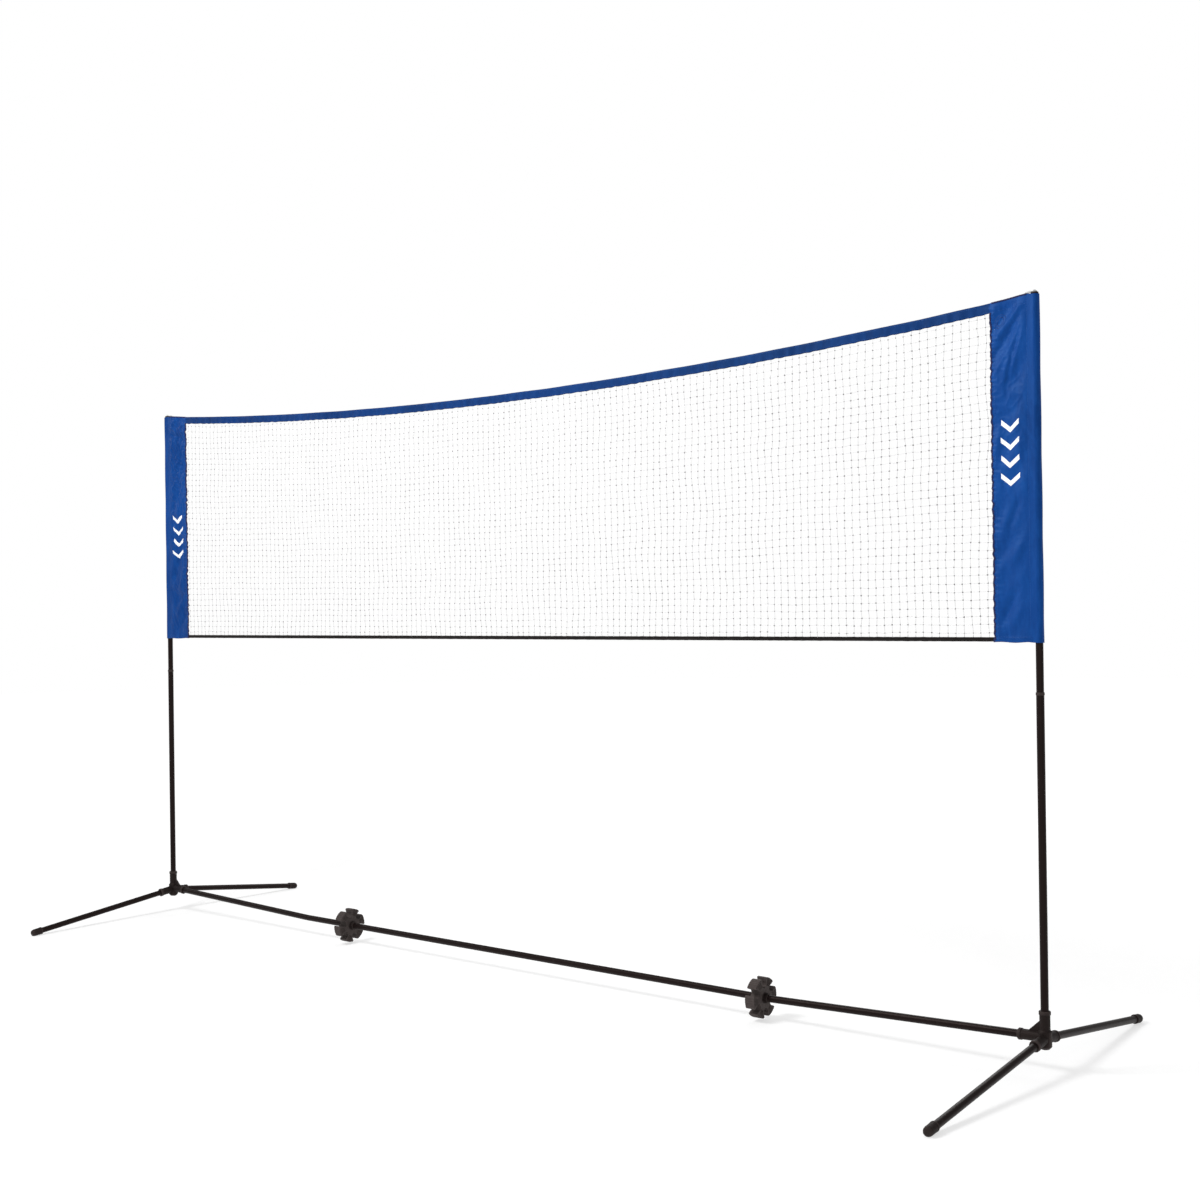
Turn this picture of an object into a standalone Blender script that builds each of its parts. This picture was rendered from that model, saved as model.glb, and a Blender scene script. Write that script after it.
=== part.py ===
"""Portable badminton net: two poles on four-legged bases, a floor bar with storage clips,
and a mesh net between fabric side sleeves that slip over the poles.

X runs along the net, Y across it, Z up. The floor is Z = 0 and the poles stand at X = +-SPAN / 2.
"""
import math

import bmesh
import bpy
from mathutils import Euler, Matrix, Vector

# Driving dimensions, in metres
SPAN = 2.900            # between the two pole axes
POLE_TOP = 1.551        # top end of the upper pole tube
POLE_JOINT = 0.750      # where the upper pole plugs into the lower one
SLEEVE_TOP = 1.5525     # at the pole
SLEEVE_BOTTOM = 0.855
SLEEVE_DROP = 0.0090    # how much lower the sleeve's top is at its inner edge
TOP_SAG = 0.0565        # how far the top band hangs at mid-span below its ends
SLEEVE_WIDTH = 0.107    # outer edge of the pole pocket to the inner seam
LEG_REACH = 0.490       # pole axis to the tip of a foot, along the floor

TUBE_R = 0.0080         # legs, floor bar and lower poles
UPPER_R = 0.0075        # upper poles
WALL = 0.0010
GAP = 0.0003            # between pieces that touch
SEGMENTS = 32
SMALL_SEGMENTS = 20     # pole tips, collars and bushes
CAP_SEGMENTS = 24       # foot caps and connector arms
MERGE = 0.0001
SHARP = math.radians(35)
EASE = 0.0006           # broken edges of tips, collars and bushes
OVERCUT = 0.0100        # how far a cutter runs past the mouth of its bore

# Base connector
SOCKET_R = 0.0107
RIM_R = 0.0119
RIM_LENGTH = 0.0070
CHAMFER = 0.0012
HUB_R = 0.0136
HUB_BOTTOM = 0.0470
HUB_TAPER = 0.0050      # narrowing of the hub's lower end
HUB_SHOULDER = 0.0860
HUB_STEP = 0.0040       # height of the slope between the hub and its pole socket
SOCKET_TOP = 0.1230
POLE_SEAT = 0.0722      # floor of the bore that holds the pole
BAR_Z = 0.0710          # height of the bar socket's axis over the pole axis
BAR_SOCKET = 0.0560     # pole axis to the mouth of the bar socket
LEG_Z = 0.0685
FOOT_Z = 0.0078         # height of the leg's axis at its tip
LEG_SOCKET = 0.0500
SEAT = 0.0180           # pole axis to the floor of a bar or leg bore
WEB_THICKNESS = 0.0060
WEB_OVERLAP = 0.0040    # how deep the web is rooted in the pole socket
WEB_TOP = 0.1020
WEB_REACH = 0.0330
WEB_SHOULDER = 0.0815
WEB_BOTTOM = 0.0700

# Floor bar, spigots and storage clips
BAR_LOW_Z = 0.0510
BAR_BEND_X = 0.8000     # joint where the end tube meets the level middle tubes
JOINT_GAP = 0.0008
SPIGOT_R = TUBE_R - WALL - GAP
SPIGOT_HALF = 0.0350
CLIP_PLACES = {"left": -0.622, "right": 0.770}   # along the bar; the clips slide
CLIP_R = 0.0460
CLIP_HALF = 0.0120
CLIP_TURNS = {"left": math.radians(-15), "right": math.radians(-25)}
SLOT_COUNT = 6
SLOT_CENTRE = 0.0315
SLOT_R = 0.0090
SLOT_MOUTH = 0.0080     # half the width of a slot at the rim
RIB_COUNT = 6
RIB_DEPTH = 0.0009
RIM_ROUNDING = 0.0016
SLOT_OPEN = math.radians(60)     # half the part of a slot's circle that is open to the mouth
SLOT_POINTS = 9
BUSH_R = 0.0105
BUSH_FLANGE_R = 0.0125
BUSH_FLANGE = 0.0017
BUSH_COLLAR = 0.0085

# Pole ends
UPPER_SPIGOT = 0.0600
SWAGE = (0.0040, 0.0080)        # where the bore widens, above the shoulder
COLLAR_R = 0.0088
COLLAR_HEIGHT = 0.0062
TIP_FLANGE = 0.0025
TIP_R = 0.0078
TIP_PLUG = 0.0150
NIB_R = 0.0026
NIB_HEIGHT = 0.0042
LOOP_CORD_R = 0.00125
LOOP_REACH = 0.0200     # pole axis to the inner bend of the corner loop
LOOP_LEVEL = 0.0095     # pole axis to where the loop starts to fall
LOOP_POINTS = 8

# Foot cap, measured from its mouth
CAP_LENGTH = 0.0320
CAP_R = 0.0099
CAP_LIP_R = 0.0103
CAP_LIP = (0.0006, 0.0038, 0.0048)      # where the lip starts, ends and has blended in
CAP_LIP_EASE = 0.0003
CAP_DEPTH = 0.0210
CAP_DOME = ((0.0042, 0.0003), (0.0075, 0.0017), (0.0092, 0.0048), (CAP_R, 0.0090))  # radius, back from tip

# Fabric and net
POCKET_R = 0.0090
POCKET_BORE = 0.0079
POCKET_POINTS = 28
SLEEVE_THICKNESS = 0.0012
TOP_BAND = 0.0210
BOTTOM_BAND = 0.0090
BOTTOM_RISE = 0.0020    # of the bottom band over the sleeves' lower edges
BAND_THICKNESS = 0.0028
NET_THICKNESS = 0.0012
BAND_POINTS = 24

BAR_ANGLE = math.atan2(BAR_Z - BAR_LOW_Z, SPAN / 2 - BAR_BEND_X)
LEG_ANGLE = math.atan2(LEG_Z - FOOT_Z, LEG_REACH)
SIDES = {"left": -1, "right": 1}
ENDS = {"front": -1, "back": 1}
ACROSS = Euler((math.pi / 2, 0, 0)).to_matrix().to_4x4()          # local XY drawn in world XZ
ALONG_X = Euler((math.pi / 2, 0, math.pi / 2)).to_matrix().to_4x4()  # local Z along world X

COLOURS = {
    "tube_black": ((0.012, 0.010, 0.010), 0.32, 0.0),
    "connector_plastic": ((0.018, 0.016, 0.016), 0.55, 0.0),
    "clip_plastic": ((0.035, 0.030, 0.030), 0.60, 0.0),
    "spigot_steel": ((0.45, 0.45, 0.46), 0.35, 1.0),
    "sleeve_polyester": ((0.022, 0.090, 0.380), 0.50, 0.0),
    "band_polyester": ((0.018, 0.060, 0.250), 0.50, 0.0),
    "band_black": ((0.012, 0.012, 0.012), 0.60, 0.0),
    "net_cord": ((0.850, 0.850, 0.850), 0.70, 0.0),
    "loop_cord": ((0.600, 0.600, 0.600), 0.70, 0.0),
}


def start():
    for obj in list(bpy.data.objects):
        bpy.data.objects.remove(obj, do_unlink=True)
    parts = bpy.data.collections.new("portable_badminton_net")
    cutters = bpy.data.collections.new("cutters")
    for collection in (parts, cutters):
        bpy.context.scene.collection.children.link(collection)
    return parts, cutters


def make_material(name):
    colour, roughness, metallic = COLOURS[name]
    material = bpy.data.materials.new(name)
    material.use_nodes = True
    shader = material.node_tree.nodes["Principled BSDF"]
    shader.inputs["Base Color"].default_value = (*colour, 1)
    shader.inputs["Roughness"].default_value = roughness
    shader.inputs["Metallic"].default_value = metallic
    return material


def add(obj, material, matrix=Matrix()):
    """Put an object in the part's collection, in its place and with its material."""
    obj.data.materials.clear()
    obj.data.materials.append(MATERIALS[material])
    obj.matrix_world = matrix
    PARTS.objects.link(obj)
    return obj


def helper(obj, matrix=Matrix()):
    """Put a cutter or a piece to be joined in the cutters' collection."""
    obj.matrix_world = matrix
    obj.hide_render = True
    obj.display_type = "WIRE"
    CUTTERS.objects.link(obj)
    return obj


def turned(name, profile, closed=False, segments=SEGMENTS):
    """A profile of (radius, height) turned about Z; it runs down its outer side."""
    mesh = bpy.data.meshes.new(name)
    count = len(profile)
    edges = [(i, i + 1) for i in range(count - 1)]
    if closed:
        edges.append((count - 1, 0))
    mesh.from_pydata([(radius, 0, height) for radius, height in profile], edges, [])
    obj = bpy.data.objects.new(name, mesh)
    screw = obj.modifiers.new("Turn", "SCREW")
    screw.steps = segments
    screw.render_steps = segments
    screw.use_merge_vertices = True
    screw.merge_threshold = MERGE
    return obj


def tube(name, low, high, radius=TUBE_R):
    inner = radius - WALL
    return turned(name, [(radius, high), (radius, low), (inner, low), (inner, high)], closed=True)


def rod(name, low, high, radius, segments=SEGMENTS):
    return turned(name, [(0, high), (radius, high), (radius, low), (0, low)], segments=segments)


def as_mesh(obj, name):
    """A plain, welded mesh object from any object, in its own coordinates."""
    was_linked = bool(obj.users_collection)
    if not was_linked:
        CUTTERS.objects.link(obj)
    graph = bpy.context.evaluated_depsgraph_get()
    mesh = bpy.data.meshes.new_from_object(obj.evaluated_get(graph))
    bpy.data.objects.remove(obj, do_unlink=True)
    shape = bmesh.new()
    shape.from_mesh(mesh)
    bmesh.ops.remove_doubles(shape, verts=shape.verts, dist=MERGE)
    shape.to_mesh(mesh)
    shape.free()
    mesh.shade_smooth()
    mesh.set_sharp_from_angle(angle=SHARP)
    mesh.name = name
    return bpy.data.objects.new(name, mesh)


def flat(name, outlines, thickness):
    """A flat piece from closed outlines in local XY; outlines after the first are holes."""
    curve = bpy.data.curves.new(name, "CURVE")
    curve.dimensions = "2D"
    curve.fill_mode = "BOTH"
    curve.extrude = thickness / 2
    for outline in outlines:
        spline = curve.splines.new("POLY")
        spline.points.add(len(outline) - 1)
        spline.use_cyclic_u = True
        for point, (x, y) in zip(spline.points, outline):
            point.co = (x, y, 0, 1)
    return as_mesh(bpy.data.objects.new(name + "_outline", curve), name)


def wire(name, points, radius, cyclic=False):
    curve = bpy.data.curves.new(name, "CURVE")
    curve.dimensions = "3D"
    curve.bevel_depth = radius
    curve.bevel_resolution = 2
    curve.use_fill_caps = not cyclic
    spline = curve.splines.new("POLY")
    spline.points.add(len(points) - 1)
    spline.use_cyclic_u = cyclic
    for point, place in zip(spline.points, points):
        point.co = (*place, 1)
    return bpy.data.objects.new(name, curve)


def combine(obj, other, operation):
    modifier = obj.modifiers.new(other.name, "BOOLEAN")
    modifier.operation = operation
    modifier.object = other


def pointing(origin, direction):
    """The matrix that puts local Z along a direction, from an origin."""
    turn = Vector(direction).to_track_quat("Z", "Y").to_matrix().to_4x4()
    return Matrix.Translation(origin) @ turn


def leg_direction(end):
    return Vector((0, ENDS[end] * math.cos(LEG_ANGLE), -math.sin(LEG_ANGLE)))


def ring(centre, radius, count, start_angle=0.0):
    step = 2 * math.pi / count
    return [(centre + radius * math.cos(start_angle + i * step),
             radius * math.sin(start_angle + i * step)) for i in range(count)]


def socket_profile(length):
    return [(0, length), (RIM_R - CHAMFER, length), (RIM_R, length - CHAMFER),
            (RIM_R, length - RIM_LENGTH), (SOCKET_R, length - RIM_LENGTH - CHAMFER),
            (SOCKET_R, 0), (0, 0)]


def base_connector():
    """The moulded hub for the left pole, at the origin: sockets for pole, bar and two legs."""
    hub_profile = socket_profile(SOCKET_TOP)[:5] + [
        (SOCKET_R, HUB_SHOULDER), (HUB_R, HUB_SHOULDER - HUB_STEP),
        (HUB_R, HUB_BOTTOM + HUB_TAPER + GAP), (HUB_R - HUB_TAPER, HUB_BOTTOM), (0, HUB_BOTTOM)]
    hub = turned("connector_blank", hub_profile)
    helper(hub)

    bar_place = pointing((0, 0, BAR_Z), (math.cos(BAR_ANGLE), 0, -math.sin(BAR_ANGLE)))
    leg_places = [pointing((0, 0, LEG_Z), leg_direction(end)) for end in ENDS]
    arms = [(bar_place, BAR_SOCKET)] + [(place, LEG_SOCKET) for place in leg_places]
    for number, (place, length) in enumerate(arms):
        arm = helper(turned(f"arm_{number}", socket_profile(length), segments=CAP_SEGMENTS), place)
        combine(hub, arm, "UNION")

    web_root = SOCKET_R - WEB_OVERLAP
    web_outline = [(web_root, WEB_TOP), (SOCKET_R, WEB_TOP), (WEB_REACH, WEB_SHOULDER),
                   (WEB_REACH, WEB_BOTTOM), (web_root, WEB_BOTTOM)]
    web = helper(flat("web", [web_outline], WEB_THICKNESS), ACROSS)
    combine(hub, web, "UNION")

    bore_r = TUBE_R + GAP
    pole_bore = helper(rod("pole_bore", POLE_SEAT, SOCKET_TOP + OVERCUT, bore_r))
    combine(hub, pole_bore, "DIFFERENCE")
    for number, (place, length) in enumerate(arms):
        bore = helper(rod(f"arm_bore_{number}", SEAT, length + OVERCUT, bore_r, CAP_SEGMENTS), place)
        combine(hub, bore, "DIFFERENCE")
    return as_mesh(hub, "base_connector").data


def build_bases():
    mesh = base_connector()
    for side, sign in SIDES.items():
        place = Matrix.Translation((sign * SPAN / 2, 0, 0))
        facing = Matrix.Rotation(0 if sign < 0 else math.pi, 4, "Z")
        add(bpy.data.objects.new(f"base_{side}", mesh), "connector_plastic", place @ facing)


def floor_cutter():
    """A slab under the floor, that trims the foot caps flat."""
    slab = bmesh.new()
    bmesh.ops.create_cube(slab, size=1)
    bmesh.ops.scale(slab, vec=(1.1 * SPAN, 2.2 * LEG_REACH, CAP_LENGTH), verts=slab.verts)
    bmesh.ops.translate(slab, vec=(0, 0, -CAP_LENGTH / 2), verts=slab.verts)
    mesh = bpy.data.meshes.new("floor_cut")
    slab.to_mesh(mesh)
    slab.free()
    return helper(bpy.data.objects.new("floor_cut", mesh))


def build_legs():
    floor = floor_cutter()
    tip = LEG_REACH / math.cos(LEG_ANGLE)
    mouth = tip - CAP_LENGTH
    tube_end = mouth + CAP_DEPTH - GAP
    lip_start, lip_end, lip_blend = CAP_LIP
    cap_profile = [(0, tip)] + [(radius, tip - back) for radius, back in CAP_DOME] + [
        (CAP_R, mouth + lip_blend), (CAP_LIP_R, mouth + lip_end), (CAP_LIP_R, mouth + lip_start),
        (CAP_R - CAP_LIP_EASE, mouth), (TUBE_R + GAP, mouth), (TUBE_R + GAP, mouth + CAP_DEPTH),
        (0, mouth + CAP_DEPTH)]
    for side, sign in SIDES.items():
        for end in ENDS:
            place = pointing((sign * SPAN / 2, 0, LEG_Z), leg_direction(end))
            add(tube(f"leg_{side}_{end}", SEAT + GAP, tube_end), "tube_black", place)
            foot = turned(f"foot_{side}_{end}", cap_profile, segments=CAP_SEGMENTS)
            cap = add(foot, "connector_plastic", place)
            combine(cap, floor, "DIFFERENCE")


def build_bar():
    bend_distance = (SPAN / 2 - BAR_BEND_X) / math.cos(BAR_ANGLE)
    for side, sign in SIDES.items():
        down = Vector((-sign * math.cos(BAR_ANGLE), 0, -math.sin(BAR_ANGLE)))
        place = pointing((sign * SPAN / 2, 0, BAR_Z), down)
        add(tube(f"bar_end_{side}", SEAT + GAP, bend_distance - JOINT_GAP / 2), "tube_black", place)

        middle = pointing((0, 0, BAR_LOW_Z), (sign, 0, 0))
        add(tube(f"bar_middle_{side}", JOINT_GAP / 2, BAR_BEND_X - JOINT_GAP / 2), "tube_black", middle)

        bend = Vector((sign * BAR_BEND_X, 0, BAR_LOW_Z))
        points = [bend - down * SPIGOT_HALF, bend, bend - Vector((sign * SPIGOT_HALF, 0, 0))]
        add(wire(f"bar_spigot_{side}", points, SPIGOT_R), "spigot_steel")
    centre = Vector((0, 0, BAR_LOW_Z))
    half = Vector((SPIGOT_HALF, 0, 0))
    add(wire("bar_spigot_middle", [centre - half, centre + half], SPIGOT_R), "spigot_steel")


def clip_outline():
    """Six lobes with ribbed rims, and a slot with a narrowed mouth between each two."""
    pitch = 2 * math.pi / SLOT_COUNT
    mouth_angle = math.asin(SLOT_MOUTH / CLIP_R)
    points = []
    for number in range(SLOT_COUNT):
        lobe = number * pitch
        rim_low = lobe - pitch / 2 + mouth_angle
        rim_high = lobe + pitch / 2 - mouth_angle
        for rib in range(2 * RIB_COUNT + 1):
            angle = rim_low + (rim_high - rim_low) * rib / (2 * RIB_COUNT)
            at_corner = rib in (0, 2 * RIB_COUNT)
            radius = CLIP_R - (RIM_ROUNDING if at_corner else RIB_DEPTH if rib % 2 else 0)
            points.append((radius * math.cos(angle), radius * math.sin(angle)))
        slot = lobe + pitch / 2
        for step in range(SLOT_POINTS):
            swing = -SLOT_OPEN - 2 * (math.pi - SLOT_OPEN) * step / (SLOT_POINTS - 1)
            points.append((SLOT_CENTRE * math.cos(slot) + SLOT_R * math.cos(slot + swing),
                           SLOT_CENTRE * math.sin(slot) + SLOT_R * math.sin(slot + swing)))
    return points


def build_clips():
    bore = ring(0, BUSH_R + GAP, SEGMENTS)
    clip_mesh = flat("storage_clip", [clip_outline(), bore], 2 * CLIP_HALF).data
    inner = TUBE_R + GAP
    face = CLIP_HALF + GAP
    flange = face + BUSH_FLANGE
    collar = flange + BUSH_COLLAR
    bush_profile = [(inner, collar), (BUSH_R - EASE, collar), (BUSH_R, collar - EASE),
                    (BUSH_R, flange), (BUSH_FLANGE_R, flange), (BUSH_FLANGE_R, face),
                    (BUSH_R, face), (BUSH_R, -face), (BUSH_FLANGE_R, -face),
                    (BUSH_FLANGE_R, -flange), (inner, -flange)]
    for side, place_x in CLIP_PLACES.items():
        centre = Matrix.Translation((place_x, 0, BAR_LOW_Z))
        lobes_up = Matrix.Rotation(CLIP_TURNS[side] + math.pi / 2, 4, "X")
        add(bpy.data.objects.new(f"clip_{side}", clip_mesh), "clip_plastic", centre @ lobes_up @ ALONG_X)
        bush = turned(f"clip_bush_{side}", bush_profile, closed=True, segments=SMALL_SEGMENTS)
        add(bush, "connector_plastic", centre @ ALONG_X)


def build_poles():
    shoulder = POLE_JOINT + GAP
    spigot_inner = SPIGOT_R - WALL
    upper_inner = UPPER_R - WALL
    upper_profile = [(UPPER_R, POLE_TOP), (UPPER_R, shoulder), (SPIGOT_R, shoulder),
                     (SPIGOT_R, shoulder - UPPER_SPIGOT + EASE),
                     (SPIGOT_R - EASE, shoulder - UPPER_SPIGOT), (spigot_inner, shoulder - UPPER_SPIGOT),
                     (spigot_inner, shoulder + SWAGE[0]), (upper_inner, shoulder + SWAGE[1]),
                     (upper_inner, POLE_TOP)]
    collar_top = shoulder + COLLAR_HEIGHT
    collar_profile = [(UPPER_R + GAP, collar_top), (COLLAR_R - EASE, collar_top),
                      (COLLAR_R, collar_top - EASE), (COLLAR_R, shoulder + EASE),
                      (COLLAR_R - EASE, shoulder), (UPPER_R + GAP, shoulder)]
    flange_low = POLE_TOP + GAP
    flange_top = flange_low + TIP_FLANGE
    nib_top = flange_top + NIB_HEIGHT
    plug_r = upper_inner - GAP
    tip_profile = [(0, nib_top), (NIB_R - EASE, nib_top), (NIB_R, nib_top - EASE),
                   (NIB_R, flange_top), (TIP_R - EASE, flange_top), (TIP_R, flange_top - EASE),
                   (TIP_R, flange_low), (plug_r, flange_low),
                   (plug_r, flange_low - TIP_PLUG), (0, flange_low - TIP_PLUG)]
    for side, sign in SIDES.items():
        place = Matrix.Translation((sign * SPAN / 2, 0, 0))
        add(tube(f"pole_lower_{side}", POLE_SEAT + GAP, POLE_JOINT), "tube_black", place)
        add(turned(f"pole_upper_{side}", upper_profile, closed=True), "tube_black", place)
        collar = turned(f"pole_collar_{side}", collar_profile, closed=True, segments=SMALL_SEGMENTS)
        add(collar, "connector_plastic", place)
        tip = turned(f"pole_tip_{side}", tip_profile, segments=SMALL_SEGMENTS)
        add(tip, "connector_plastic", place)


def build_sleeves():
    """A side sleeve: a pocket around the pole with a flat panel running inwards from it."""
    half = SLEEVE_THICKNESS / 2
    inner_edge = SLEEVE_WIDTH - POCKET_R
    opening = math.asin(half / POCKET_R)
    outline = [(inner_edge, -half), (inner_edge, half)]
    for step in range(POCKET_POINTS + 1):
        angle = opening + 2 * (math.pi - opening) * step / POCKET_POINTS
        outline.append((POCKET_R * math.cos(angle), POCKET_R * math.sin(angle)))
    mesh = flat("side_sleeve", [outline, ring(0, POCKET_BORE, SEGMENTS)], SLEEVE_TOP - SLEEVE_BOTTOM).data
    for vertex in mesh.vertices:
        if vertex.co.z > 0:
            vertex.co.z -= SLEEVE_DROP * (vertex.co.x + POCKET_R) / SLEEVE_WIDTH
    for side, sign in SIDES.items():
        place = Matrix.Translation((sign * SPAN / 2, 0, (SLEEVE_TOP + SLEEVE_BOTTOM) / 2))
        facing = Matrix.Rotation(0 if sign < 0 else math.pi, 4, "Z")
        add(bpy.data.objects.new(f"sleeve_{side}", mesh), "sleeve_polyester", place @ facing)


def build_net():
    half_width = SPAN / 2 + POCKET_R - SLEEVE_WIDTH - GAP
    top = SLEEVE_TOP - SLEEVE_DROP
    bottom = SLEEVE_BOTTOM + BOTTOM_RISE

    def hanging(drop):
        """Points from left to right along the sagging top line, a drop below it."""
        line = []
        for step in range(BAND_POINTS + 1):
            t = 2 * step / BAND_POINTS - 1
            line.append((t * half_width, top - TOP_SAG * (1 - t * t) - drop))
        return line

    band_outline = hanging(0) + hanging(TOP_BAND)[::-1]
    add(flat("top_band", [band_outline], BAND_THICKNESS), "band_polyester", ACROSS)

    net_low = bottom + BOTTOM_BAND + GAP
    net_outline = hanging(TOP_BAND + GAP) + [(half_width, net_low), (-half_width, net_low)]
    add(flat("net_panel", [net_outline], NET_THICKNESS), "net_cord", ACROSS)

    bottom_outline = [(-half_width, bottom), (half_width, bottom),
                      (half_width, bottom + BOTTOM_BAND), (-half_width, bottom + BOTTOM_BAND)]
    add(flat("bottom_band", [bottom_outline], BAND_THICKNESS), "band_black", ACROSS)


def build_loops():
    """The corner loops: a cord around each pole's nib that comes down onto the sleeve's top."""
    around = NIB_R + GAP + LOOP_CORD_R
    high = POLE_TOP + GAP + TIP_FLANGE + GAP + LOOP_CORD_R
    low = SLEEVE_TOP + GAP + LOOP_CORD_R

    def half_turn(centre, start):
        """Points of a half circle of the loop, anticlockwise from an angle."""
        angles = [start + math.pi * i / LOOP_POINTS for i in range(LOOP_POINTS + 1)]
        return [(centre + around * math.cos(a), around * math.sin(a)) for a in angles]

    plan = half_turn(0, math.pi / 2) + [(LOOP_LEVEL, -around)]
    plan += half_turn(LOOP_REACH - around, -math.pi / 2) + [(LOOP_LEVEL, around)]
    for side, sign in SIDES.items():
        points = []
        for x, y in plan:
            fall = min(max((x - LOOP_LEVEL) / (LOOP_REACH - around - LOOP_LEVEL), 0), 1)
            points.append((sign * (SPAN / 2 - x), y, high + (low - high) * fall))
        add(wire(f"corner_loop_{side}", points, LOOP_CORD_R, cyclic=True), "loop_cord")


PARTS, CUTTERS = start()
MATERIALS = {name: make_material(name) for name in COLOURS}
build_bases()
build_legs()
build_bar()
build_clips()
build_poles()
build_sleeves()
build_net()
build_loops()
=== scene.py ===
import math

import bpy
import numpy as np
from mathutils import Matrix, Vector


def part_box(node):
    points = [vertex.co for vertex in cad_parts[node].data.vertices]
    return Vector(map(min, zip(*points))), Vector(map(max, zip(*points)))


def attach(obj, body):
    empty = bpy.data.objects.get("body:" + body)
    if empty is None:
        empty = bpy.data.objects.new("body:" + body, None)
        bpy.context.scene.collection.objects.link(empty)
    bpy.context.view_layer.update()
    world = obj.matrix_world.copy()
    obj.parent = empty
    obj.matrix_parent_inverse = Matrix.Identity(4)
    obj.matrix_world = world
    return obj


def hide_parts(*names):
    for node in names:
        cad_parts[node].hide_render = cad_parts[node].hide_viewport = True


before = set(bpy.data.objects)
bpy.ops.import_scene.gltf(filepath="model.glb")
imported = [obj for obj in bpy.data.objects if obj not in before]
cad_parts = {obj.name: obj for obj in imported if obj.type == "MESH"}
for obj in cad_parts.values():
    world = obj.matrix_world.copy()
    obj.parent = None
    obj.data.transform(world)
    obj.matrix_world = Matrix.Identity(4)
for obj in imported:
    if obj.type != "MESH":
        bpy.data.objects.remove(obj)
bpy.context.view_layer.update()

SIDES = {"left": -1, "right": 1}
LAYERS = {"front": -1, "back": 1}

# Places taken from the CAD frame, in metres
POLE_LOW, POLE_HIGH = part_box("pole_upper_right")
SLEEVE_LOW, SLEEVE_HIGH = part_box("sleeve_right")
BAND_LOW, BAND_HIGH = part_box("top_band")
BOTTOM_LOW, BOTTOM_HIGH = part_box("bottom_band")
LOOP_LOW, LOOP_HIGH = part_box("corner_loop_right")
POLE_X = (POLE_LOW.x + POLE_HIGH.x) / 2

# Cloth
CLOTH = 0.00035
TAPE = 0.0003
STITCH_PITCH = 0.0033

# Side sleeves: u runs inwards from the pole's axis
POCKET_R = 0.0092
SEAM_U = 0.0135
SEAM_Y = -0.0064           # the seam sits towards the pocket's front
EDGE_U = POLE_X - SLEEVE_LOW.x - 0.0004      # leaves room for the binding
PANEL_RISE = 0.0006        # the panel's bottom edge is this much higher than the pocket's
HEM = 0.0120
WAVE_DEPTH = 0.0014
CREASE_DEPTHS = {"left": 0.0036, "right": 0.00108}
FOLD_SCALE = 1.5           # on the depths in FOLDS
EDGE_PUCKER = 0.00075
SEAM_PUCKER = 0.00030
LOFT = 0.0011              # half the air between the panel's layers
SEEDS = {"left": 11, "right": 29}
PATCH_U = EDGE_U - 0.0235  # the round patch near the sleeve's top inner corner
PATCH_DROP = 0.0400
PATCH_SLANT = -0.0040

# Printed chevrons
CHEVRONS = 4
CHEVRON_TOPS = {"left": 1.240, "right": 1.305}
CHEVRON_PITCH = 0.0360
CHEVRON_U = 0.0545
CHEVRON_HALF = 0.0210
CHEVRON_DROP = 0.0165
CHEVRON_STROKE = 0.0105

# Bands
BAND_X = BAND_HIGH.x
BAND_TOP = BAND_HIGH.z
BAND_DEPTH = 0.0210
BAND_SAG = BAND_HIGH.z - BAND_LOW.z - BAND_DEPTH
BAND_FOLD = 0.0022         # where the band's layers leave its folded upper edge
BAND_SEAMS = (0.0185, 0.0040)
BAND_STITCH_PITCH = 0.0034
TUCK = 0.0070              # how far the bands reach in between the sleeves' layers
TAPER = 0.0300             # the stretch over which they thin out before that

# Net
COLUMNS = 145
ROWS = 39
CORD_R = 0.00065
KNOT_SIZE = (0.0020, 0.0014, 0.0016)

# Corner loops
LOOP_CORD_R = 0.00125
LOOP_LEVEL = 0.0095        # pole's axis to where the loop starts to fall

# Ribs moulded on the clips' faces
LOBES = 6
CLIP_TURNS = {"left": math.radians(75), "right": math.radians(65)}
RIB_SPREADS = (-9, -4.5, 0, 4.5, 9)
RIB_RADII = (0.0270, 0.0285, 0.0350, 0.0405, 0.0420)
RIM_RADIUS = 0.0438

# Studio
FLOOR_RADIUS = 16.0
FLOOR_SIDES = 96
FLOOR_DROP = 0.0006        # keeps the paper clear of the feet
SKY = (0.42, 1.0)          # how bright the surroundings are, as a lamp and as seen

# Where each lamp is, what it points at, its size and its power
LAMPS = {
    "key": ((-0.7, -2.0, 2.9), (1.4, 0.0, 1.1), 1.0, 88),
    "side": ((-4.2, -1.2, 2.7), (-1.4, 0.0, 1.1), 0.7, 11),
    "fill": ((3.2, -3.2, 1.6), (0.9, 0.0, 0.5), 2.2, 22),
    "rim": ((-0.6, 3.2, 2.6), (0.0, 0.0, 0.7), 2.4, 45),
}

CAMERA_PLACE = (2.8275, -3.0152, 0.9417)
CAMERA_YAW = math.radians(39.832)
CAMERA_PITCH = math.radians(0.182)
CAMERA_ROLL = math.radians(-0.765)
CAMERA_LENS = 48.195


# ---------------------------------------------------------------- materials

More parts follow.
